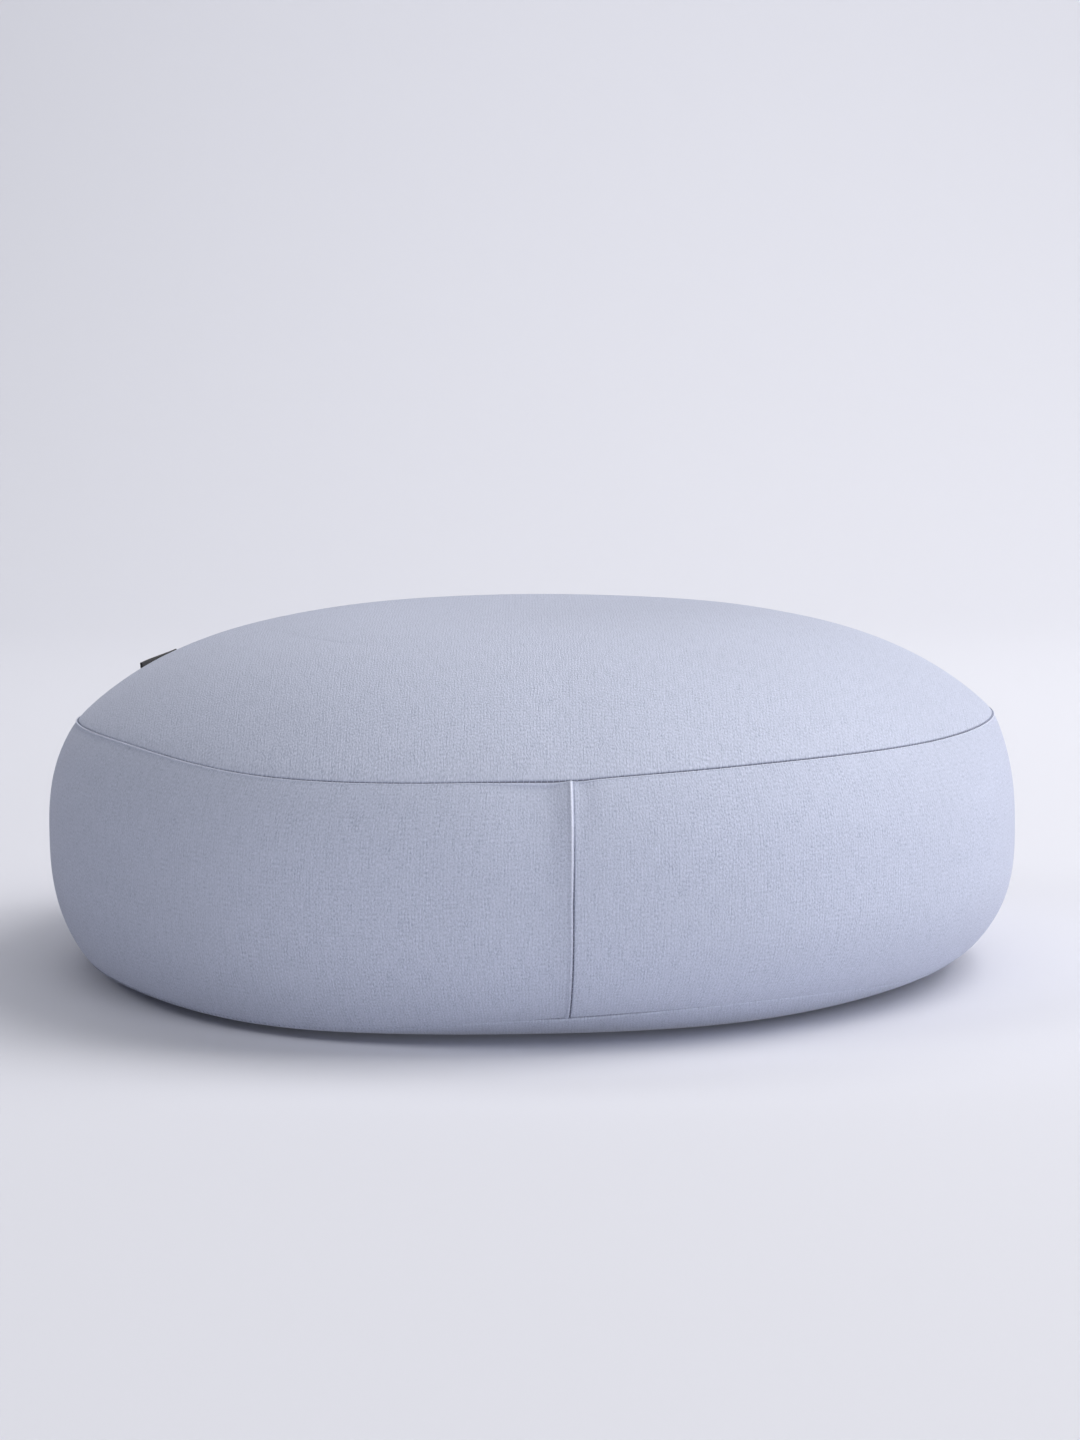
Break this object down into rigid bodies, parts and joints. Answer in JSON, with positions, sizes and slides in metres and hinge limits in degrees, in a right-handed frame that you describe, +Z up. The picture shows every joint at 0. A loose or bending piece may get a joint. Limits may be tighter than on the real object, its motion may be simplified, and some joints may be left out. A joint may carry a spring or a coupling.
{
  "type": "round cushion",
  "caption": "Round floor cushion with a crowned top panel, a bulging side band with an upright seam, a base panel and a blank label tab in its top seam.",
  "frame": {"origin": "on the floor under the middle of the cushion's box", "axes": "+Z up from the floor, -Y towards the front with the upright band seam, +X to the right seen from the front"},
  "size_m": [0.4978, 0.4998, 0.181],
  "materials": {
    "cloth": "matte fine stretch knit, pale lilac grey",
    "label_ribbon": "matte woven ribbon, near black"
  },
  "bodies": {
    "root": {"cushion": "cloth", "label_tab": "label_ribbon"}
  },
  "joints": []
}
